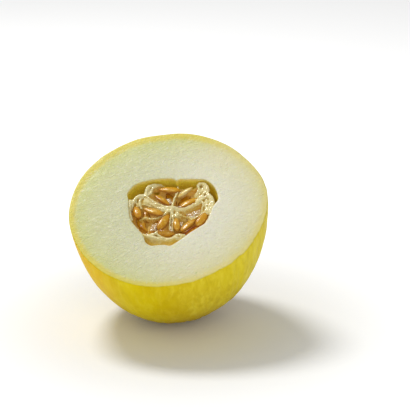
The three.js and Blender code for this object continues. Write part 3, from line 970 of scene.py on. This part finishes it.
class MELON_OT_seed_pulp(bpy.types.Operator):
    """Builds the pulp from its walls, folds, core and threads, and melts them into one soft mass"""

    bl_idname = "melon.seed_pulp"
    bl_label = "Seed Pulp"

    def execute(self, context):
        settings = context.scene.melon_pulp
        parts = [pulp_base(), shelf(), *core_lumps()]
        parts += [wall_sheet(*wall) for wall in (*OUTER_WALLS, *FOLDS, *SEPTA)]
        parts += [thread_tube(line) for line in THREADS]
        for part in parts:
            close_and_face_out(part)
        start_fresh()
        for part in parts:
            part.select_set(True)
        context.view_layer.objects.active = parts[0]
        bpy.ops.object.join()
        pulp = context.object
        apply_modifier(pulp, "REMESH", mode="VOXEL", voxel_size=settings.grain / MM, adaptivity=0.0)
        apply_modifier(pulp, "SMOOTH", factor=0.5, iterations=2)
        self.shape_surface(pulp)
        self.thin_the_hidden_end(pulp)
        write_attribute(pulp, "deep", [-vertex.co.z for vertex in pulp.data.vertices])
        into_the_row(pulp)
        pulp.data.materials.clear()
        pulp.data.materials.append(pulp_finish(settings))
        keep_piece(pulp, "melon_seed_pulp", "seed_pulp", "seed_pulp")
        return {"FINISHED"}

    @staticmethod
    def shape_surface(pulp):
        """Wrinkles the wet surface a little, and keeps the pulp inside the cavity."""
        least_clearance, cavity_depth = 0.15, bpy.context.scene.melon_fruit.cavity_depth / MM
        moved = []
        for vertex in pulp.data.vertices:
            p, normal = vertex.co.copy(), vertex.normal
            if p.z > -HIDDEN_DEPTH - 1:
                wrinkle = 0.26 * wobble(p.x, p.y, p.z, 1.1) + 0.22 * wobble(p.x + 9, p.y, p.z * 0.4, 0.6)
                p += normal * wrinkle
            across = p.xy - CAVITY_CENTRE
            turn = math.degrees(math.atan2(across.y, across.x))
            share = cavity_share(min(-p.z, cavity_depth - 1) / cavity_depth)
            limit = share * (MOUTH(turn) - least_clearance)
            if across.length > limit:
                p.xy = CAVITY_CENTRE + across.normalized() * limit
            moved.extend(p)
        pulp.data.vertices.foreach_set("co", moved)
        pulp.data.update()

    @staticmethod
    def thin_the_hidden_end(pulp):
        """Spends fewer faces below the chambers, where nothing shows."""
        group = pulp.vertex_groups.new(name="below")
        below = [v.index for v in pulp.data.vertices if v.co.z < -HIDDEN_DEPTH]
        group.add(below, 1.0, "REPLACE")
        share = len(below) / len(pulp.data.vertices)
        apply_modifier(pulp, "DECIMATE", ratio=1 - 0.8 * share, vertex_group="below")
        pulp.vertex_groups.clear()


def pulp_finish(settings):
    """Wet, half clear pulp: cream on its crests, and amber down its walls and in its hollows, partly painted
    shade, with a painted glow in the hollows.
    """
    pulp = Finish(
        "melon_pulp", Coat_Weight=0.5, Coat_Roughness=0.08, Specular_IOR_Level=0.25, Emission_Strength=0.3,
        Subsurface_Weight=0.3, Subsurface_Scale=0.002, Subsurface_Radius=(1.0, 0.9, 0.5),
    )
    where, deep = pulp.place(), pulp.attribute("deep")
    drift = pulp.cloud(where, 300, 4.0, 0.65)
    stain = pulp.cloud(where, 110, 2.0, 0.5)
    thread = pulp.cloud(where, 900, 3.0, 0.6, 0.8)
    level = deep + (drift - 0.5) * 2.2
    pulp.set(
        Base_Color=pulp.washes(
            tuple(settings.crest_colour),
            # the amber down the walls and in the hollows is partly the pulp's own colour and partly painted
            # shade deeper down
            (level.between(2.8, 5.2), tuple(settings.wall_colour)),
            (level.between(4.8, 8.4), tuple(settings.deep_colour)),
            (stain.between(0.5, 0.7) * 0.3, paint(206, 170, 58)),
            (thread.between(0.52, 0.7) * 0.4, paint(250, 240, 190)),
        ),
        Roughness=(thread * 0.2 + 0.16).clamp(),
        # painted glow: the hollows give off a dim golden light that stands in for light shining through the
        # wet pulp
        Emission_Color=pulp.mix(level.between(4.0, 8.0), BLACK, paint(150, 120, 50)),
        Normal=pulp.bump(drift * 0.4 + thread * 0.6, 0.9 * MM, 0.8),
    )
    return pulp.material


# ---- Thin films of pulp, in millimetres: how far each crowns, and its corners as (u, v, depth). ----
FILM_THICKNESS = 0.14
FILMS = {
    # over the seed on the right
    "melon_film_right": (0.9, (5.8, 3.4, 4.6), (15.6, 11.2, 4.4), (18.4, 8.2, 4.8), (9.2, 1.6, 4.4)),
    # the empty coat by the top
    "melon_film_top": (0.5, (5.2, 16.4, 4.6), (13.2, 20.4, 3.0), (12.6, 18.4, 4.4), (7.8, 13.2, 3.9)),
    # behind the left seeds
    "melon_film_left": (0.5, (-9.4, 8.0, 6.6), (-1.0, 13.4, 6.8), (1.8, 8.2, 6.2), (-3.2, 4.6, 5.6)),
    # between the two lower walls, beside them, and torn on the right
    "melon_film_middle": (0.3, (2.6, -6.0, 4.6), (4.6, -6.0, 4.6), (6.0, -18.6, 4.8), (3.4, -19.0, 4.8)),
    "melon_film_beside": (0.6, (6.4, -9.4, 6.2), (11.4, -7.6, 6.4), (11.8, -14.6, 5.6), (8.0, -17.4, 5.4)),
    "melon_film_torn": (0.9, (12.6, -1.4, 5.6), (22.0, 2.2, 4.6), (22.8, -3.4, 4.9), (14.6, -5.6, 6.0)),
    # low on the left
    "melon_film_low": (0.7, (-9.8, -11.6, 6.2), (-5.2, -10.2, 5.8), (-5.4, -17.6, 5.0), (-9.6, -18.6, 4.8)),
}


class MELON_OT_pulp_films(bpy.types.Operator):
    """Lays the thin clear films of pulp over and between the seeds"""

    bl_idname = "melon.pulp_films"
    bl_label = "Pulp Films"

    def execute(self, context):
        finish = film_finish()
        for name, (crown, *corners) in FILMS.items():
            sheet = add_grid(30, 22)
            a, b, c, d = (Vector((u, v, -depth)) for u, v, depth in corners)
            for vertex in sheet.data.vertices:
                s, t = vertex.co.x + 0.5, vertex.co.y + 0.5
                point = (a.lerp(b, s)).lerp(d.lerp(c, s), t)
                point.z += crown * 6.4 * s * (1 - s) * t * (1 - t)
                wave = 0.22 * wobble(point.x, point.y, 2.0, 1.6)
                point.z += wave + 0.12 * wobble(point.x, point.y, 5.0, 0.7)
                ragged = 0.5 * wobble(point.x * 1.3, point.y * 1.3, 8.0, 1.5)
                vertex.co = point + Vector((ragged, -ragged, 0))
            apply_modifier(sheet, "SOLIDIFY", thickness=FILM_THICKNESS, offset=0.0)
            close_and_face_out(sheet)
            into_the_row(sheet)
            sheet.data.materials.append(finish)
            keep_piece(sheet, name, "seed_pulp")
        return {"FINISHED"}


def film_finish():
    """Wrinkled wet film, clearer between its wrinkles."""
    film = Finish("melon_film", Coat_Weight=0.6, Coat_Roughness=0.06)
    fold = film.cloud(film.place(), 520, 4.0, 0.65, 1.0)
    film.set(
        Base_Color=film.mix(fold.between(0.4, 0.7), paint(222, 184, 108), paint(252, 246, 222)),
        Alpha=(fold.between(0.38, 0.72) * 0.5 + 0.35).clamp(),
        Roughness=(fold * 0.2 + 0.12).clamp(),
        Normal=film.bump(fold, 0.7 * MM, 0.9),
    )
    return film.material


# ---- Seeds. ----
USUAL_RIPENESS = 0.5  # 0 is a pale, empty coat and 1 the brownest seed
SEED_RIPENESS = {
    "seed_02": 0.12, "seed_04": 0.55, "seed_07": 0.75, "seed_12": 0.55, "seed_13": 0.55, "seed_14": 0.45,
    "seed_15": 0.8, "seed_16": 0.8, "seed_17": 0.35, "seed_18": 0.3, "seed_20": 1.0, "seed_21": 0.75,
}
# how much broader a plump seed is than its neighbours
SEED_PLUMPNESS = {"seed_10": 1.06, "seed_11": 1.17, "seed_12": 1.1}
# how much longer, broader and thicker the seeds are than their solids, which keep clear of the pulp
SEED_FULLNESS = (1.09, 1.14, 1.12)
POINT_TAPER = 0.26  # how much narrower a seed is at its point
NOTCH = 0.12  # how much thinner it is in the middle there


def seed_axes(node):
    """A CAD seed's middle, its long, broad and thin axes, and its half lengths along them."""
    points = [v.co.copy() for v in node.data.vertices]
    middle = sum(points, Vector()) / len(points)
    spread = Matrix(((0,) * 3,) * 3)
    for p in points:
        d = (p - middle) / MM
        for i in range(3):
            for j in range(3):
                spread[i][j] += d[i] * d[j]
    # a direction turns to the longest axis as it is multiplied by the spread again and again
    along = Vector((0.3, 0.5, 0.8))
    for _ in range(80):
        along = (spread @ along).normalized()
    broad = Vector((0.9, -0.2, 0.4))
    for _ in range(160):
        broad -= along * broad.dot(along)
        broad = (spread @ broad).normalized()
    broad = (broad - along * broad.dot(along)).normalized()
    thin = along.cross(broad)
    ends = [(p - middle).dot(along) for p in points]
    centre = middle + along * (max(ends) + min(ends)) / 2
    half_length = (max(ends) - min(ends)) / 2

    def half_width(part):
        there = (p - centre for p in points if part((p - centre).dot(along) / half_length))
        return max(abs(p.dot(broad)) for p in there)

    # the long axis points to the narrow end, and the thin one out of the cut
    if half_width(lambda reach: reach > 0.45) > half_width(lambda reach: reach < -0.45):
        along, thin = -along, -thin
    if thin.dot(CUT.to_3x3() @ Vector((0, 0, 1))) < 0:
        broad, thin = -broad, -thin
    half_depth = max(abs((p - centre).dot(thin)) for p in points)
    return centre, (along, broad, thin), (half_length, half_width(lambda reach: True), half_depth)


class MELON_OT_seeds(bpy.types.Operator):
    """Shapes one seed from a sphere and copies it to each seed's place in the pulp"""

    bl_idname = "melon.seeds"
    bl_label = "Seeds"

    def execute(self, context):
        settings = context.scene.melon_seeds
        pattern = add_ball(settings.around, 36, (0, math.pi / 2, 0))
        bpy.ops.object.transform_apply(location=True, rotation=True, scale=True)
        finish = seed_finish(settings)
        names = sorted(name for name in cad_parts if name.startswith("seed_") and name != "seed_pulp")
        for number, name in enumerate(names):
            self.copy_seed(pattern, name, number, finish)
        bpy.data.objects.remove(pattern)
        return {"FINISHED"}

    @staticmethod
    def copy_seed(pattern, name, number, finish):
        centre, (along, broad, thin), half_sizes = seed_axes(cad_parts[name])
        length, width, depth = (size * fuller for size, fuller in zip(half_sizes, SEED_FULLNESS))
        plump = SEED_PLUMPNESS.get(name, 1.0)
        seed = pattern.copy()
        seed.data = pattern.data.copy()
        bpy.context.collection.objects.link(seed)
        edges, ends = [], []
        for vertex in seed.data.vertices:
            x, y, z = vertex.co
            round_x = max(1 - x * x, 0.0)
            # broad round end, straight flanks, and a narrow blunt point with a small notch
            taper = (1 - POINT_TAPER * smoothstep(-0.1, 1.0, x)) * plump
            flank = math.sqrt((1 - abs(x) ** 2.7) / max(round_x, 0.02)) if abs(x) < 0.999 else 1.0
            flat = abs(y) / max(math.hypot(y, z), 1e-6)
            belly = 1 - 0.2 * flat**6
            dimple = 1 - NOTCH * hump(y, 0.3) * smoothstep(0.2, 0.8, x)
            wrinkle = 1 + 0.035 * wobble(x * 3, y * 3, number * 1.3 + z, 1.0)
            bend = 0.05 * math.sin(x * 2.2 + number) + 0.08 * wobble(x, y, number * 3.7, 0.8)
            vertex.co = (
                centre
                + along * (x * length)
                + broad * (y * width * taper * flank * wrinkle)
                + thin * (z * depth * taper**0.5 * belly * dimple * wrinkle + half_sizes[2] * bend)
            )
            edges.append(smoothstep(0.55, 0.95, abs(y) / max(math.sqrt(round_x), 0.12)))
            ends.append(smoothstep(0.55, 1.0, abs(x)))
        write_attribute(seed, "edge", edges)
        write_attribute(seed, "end", ends)
        write_attribute(seed, "ripe", [SEED_RIPENESS.get(name, USUAL_RIPENESS)] * len(edges))
        seed.data.update()
        close_and_face_out(seed, 1e-6)
        seed.data.materials.append(finish)
        keep_piece(seed, name.replace("seed_", "melon_seed_"), "seed_coat", name)


def seed_finish(settings):
    """Smooth wet amber coat with an orange brown edge that is partly painted shade, painted pale glints and
    brown stains.
    """
    seed = Finish(
        "melon_seed_coat", Coat_Weight=0.5, Coat_Roughness=0.12, Specular_IOR_Level=0.12,
        Subsurface_Weight=0.2, Subsurface_Scale=0.0016, Subsurface_Radius=(1.0, 0.75, 0.2),
    )
    where, ripe, edge = seed.place(), seed.attribute("ripe"), seed.attribute("edge")
    blotch = seed.cloud(where, 340, 3.0, 0.6)
    line = seed.cloud(where, 1300, 3.0, 0.6, 0.6)
    stain = seed.cloud(where, 620, 2.0, 0.5, 0.5)
    # the orange brown edge is partly the coat's own margin and partly painted shade where the seed rounds
    # away from the light
    rim = (edge + seed.attribute("end") * 0.55 + (blotch - 0.5) * 0.7).clamp()
    seed.set(
        Base_Color=seed.washes(
            tuple(settings.seed_pale_colour),
            (ripe.between(0.0, 0.55), tuple(settings.seed_colour)),
            (ripe.between(0.55, 1.1) * 0.75, paint(206, 124, 6)),
            (rim * (ripe * 0.8 + 0.2), tuple(settings.seed_edge_colour)),
            # painted highlights: pale patches over each seed's middle stand in for glints on the wet coat
            (blotch.between(0.5, 0.68) * (1 - edge * 0.9) * 0.6, paint(252, 218, 112)),
            (stain.between(0.56, 0.68) * 0.45, paint(186, 96, 6)),
        ),
        Roughness=(line * 0.2 + 0.2).clamp(),
        Normal=seed.bump(line * 0.5 + blotch * 0.5, 0.25 * MM, 0.6),
    )
    return seed.material


# ---- Stage, in metres and watts. ----
LIGHTS = {  # place, size and power
    "key_light": ((-0.5, 0.35, 1.15), 0.42, 9.2),
    "front_fill": ((0.5, -1.3, 0.85), 0.9, 2.5),
}
LIGHTS_AIM = Vector((0, 0, 0.07))
WORLD_STRENGTH = 0.36
SENSOR_WIDTH = 36.0  # in millimetres


class MELON_OT_stage(bpy.types.Operator):
    """Sets the plain pale floor, the soft studio lights and the camera"""

    bl_idname = "melon.stage"
    bl_label = "Stage"

    def execute(self, context):
        settings = context.scene.melon_stage
        self.add_floor(settings)
        self.add_lights(context)
        self.add_camera(context, settings)
        return {"FINISHED"}

    @staticmethod
    def add_floor(settings):
        floor = add_grid(24, 24, 12)
        finish = Finish("stage_floor", Roughness=0.75, Emission_Strength=0.4)
        tone = finish.cloud(finish.place(), 3.0, 2.0)
        # painted shadow: near the fruit the floor glows less, which leaves a soft darker pool round it;
        # further out it glows evenly
        far = finish.away(finish.place(), (0, 0, 0)).between(0.07, 0.22)
        colour = tuple(settings.floor_colour)
        finish.set(
            Base_Color=finish.mix(tone * 0.2, colour, tuple(c * 0.98 for c in colour)),
            Emission_Color=finish.mix(far, paint(100, 100, 100), paint(255, 255, 255)),
        )
        floor.data.materials.append(finish.material)
        floor.name = "stage_floor"
        floor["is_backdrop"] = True
        start_fresh()

    @staticmethod
    def add_lights(context):
        world = context.scene.world or bpy.data.worlds.new("World")
        context.scene.world = world
        world.use_nodes = True
        background = world.node_tree.nodes["Background"]
        background.inputs["Color"].default_value = (1.0, 1.0, 1.0, 1.0)
        background.inputs["Strength"].default_value = WORLD_STRENGTH
        for name, (place, size, power) in LIGHTS.items():
            bpy.ops.object.light_add(type="AREA", location=place)
            light = bpy.context.object
            light.name = name
            light.data.shape, light.data.size, light.data.energy = "DISK", size, power
            light.rotation_euler = (LIGHTS_AIM - Vector(place)).to_track_quat("-Z", "Y").to_euler()
        context.scene.view_settings.view_transform = "Standard"
        start_fresh()

    @staticmethod
    def add_camera(context, settings):
        tilt = Matrix.Rotation(math.pi / 2 - settings.height, 3, "X")
        turned = Matrix.Rotation(settings.turn, 3, "Z") @ tilt
        right, up, back = turned.col
        data = bpy.data.cameras.new("camera")
        data.lens, data.sensor_width = settings.lens, SENSOR_WIDTH
        camera = bpy.data.objects.new("camera", data)
        context.collection.objects.link(camera)
        aim = CUT_MIDDLE + right * settings.aim_right + up * settings.aim_up
        camera.matrix_world = Matrix.Translation(aim + back * settings.distance) @ turned.to_4x4()
        context.scene.camera = camera


class MELON_PT_panel(bpy.types.Panel):
    bl_idname = "MELON_PT_panel"
    bl_label = "Half Melon"
    bl_space_type = "VIEW_3D"
    bl_region_type = "UI"
    bl_category = "Melon"

    def draw(self, context):
        layout = self.layout
        for group, operators in (
            ("melon_fruit", (MELON_OT_rind_and_flesh,)),
            ("melon_pulp", (MELON_OT_seed_pulp, MELON_OT_pulp_films)),
            ("melon_seeds", (MELON_OT_seeds,)),
            ("melon_stage", (MELON_OT_stage,)),
        ):
            box = layout.box()
            settings = getattr(context.scene, group)
            for name in settings.__annotations__:
                box.prop(settings, name)
            for operator in operators:
                box.operator(operator.bl_idname)


GROUPS = {
    "melon_fruit": FruitSettings,
    "melon_pulp": PulpSettings,
    "melon_seeds": SeedSettings,
    "melon_stage": StageSettings,
}
CLASSES = (
    *GROUPS.values(),
    MELON_OT_rind_and_flesh,
    MELON_OT_seed_pulp,
    MELON_OT_pulp_films,
    MELON_OT_seeds,
    MELON_OT_stage,
    MELON_PT_panel,
)


def register():
    for cls in CLASSES:
        bpy.utils.register_class(cls)
    for name, group in GROUPS.items():
        setattr(bpy.types.Scene, name, PointerProperty(type=group))


def unregister():
    for name in GROUPS:
        delattr(bpy.types.Scene, name)
    for cls in reversed(CLASSES):
        bpy.utils.unregister_class(cls)


def main():
    register()
    bpy.ops.melon.rind_and_flesh()
    bpy.ops.melon.seed_pulp()
    bpy.ops.melon.pulp_films()
    bpy.ops.melon.seeds()
    bpy.ops.melon.stage()
    boxes = {"cad": CAD_BOX, "visual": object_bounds()}
    {name: [list(corner) for corner in box] for name, box in boxes.items()}


if __name__ == "__main__":
    main()
